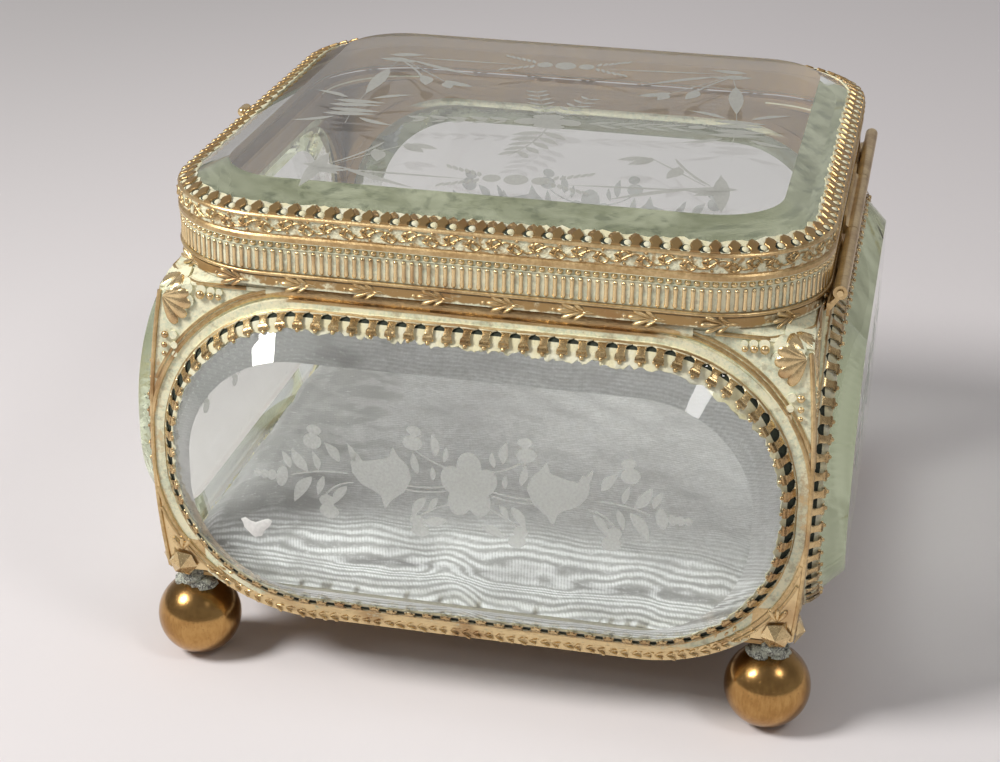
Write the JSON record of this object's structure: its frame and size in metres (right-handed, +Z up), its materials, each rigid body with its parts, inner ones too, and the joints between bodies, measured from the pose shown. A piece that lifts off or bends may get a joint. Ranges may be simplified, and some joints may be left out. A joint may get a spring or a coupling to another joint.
{
  "type": "glass casket box",
  "caption": "Small casket of bevelled engraved glass panes in a stamped gilt brass frame on ball feet, with a padded silk floor and a hinged glass lid.",
  "frame": {"origin": "centre of the footprint, on the surface that the ball feet stand on", "axes": "+Z up, +X towards the hinge, -X towards the thumb-piece"},
  "size_m": [0.137, 0.137, 0.099],
  "materials": {
    "stamped_brass": "satin",
    "bright_brass": "polished",
    "solder": "matt",
    "pane_glass": "clear",
    "card": "matt",
    "silk": "satin"
  },
  "bodies": {
    "body": {"frame_front": "stamped_brass", "frame_back": "stamped_brass", "frame_left": "stamped_brass", "frame_right": "stamped_brass", "top_band": "stamped_brass", "glass_front": "pane_glass", "glass_back": "pane_glass", "glass_left": "pane_glass", "glass_right": "pane_glass", "gallery_front": "bright_brass", "gallery_back": "bright_brass", "gallery_left": "bright_brass", "gallery_right": "bright_brass", "floor_plate": "stamped_brass", "cushion_card": "card", "cushion": "silk", "foot_front_left": "bright_brass", "foot_front_right": "bright_brass", "foot_back_left": "bright_brass", "foot_back_right": "bright_brass", "collar_front_left": "solder", "collar_front_right": "solder", "collar_back_left": "solder", "collar_back_right": "solder", "hinge_body_leaf": "stamped_brass", "hinge_pin": "bright_brass"},
    "lid": {"lid_gallery": "stamped_brass", "lid_bead_wire": "stamped_brass", "lid_reeded_band": "stamped_brass", "lid_glass": "pane_glass", "hinge_lid_leaf": "stamped_brass", "thumb_piece": "bright_brass"}
  },
  "joints": [
    {"name": "lid_hinge", "type": "hinge", "parent": "body", "child": "lid", "pos_m": [0.0634, 0, 0.085], "axis": [0, 1, 0], "range_deg": [0, 100]}
  ]
}
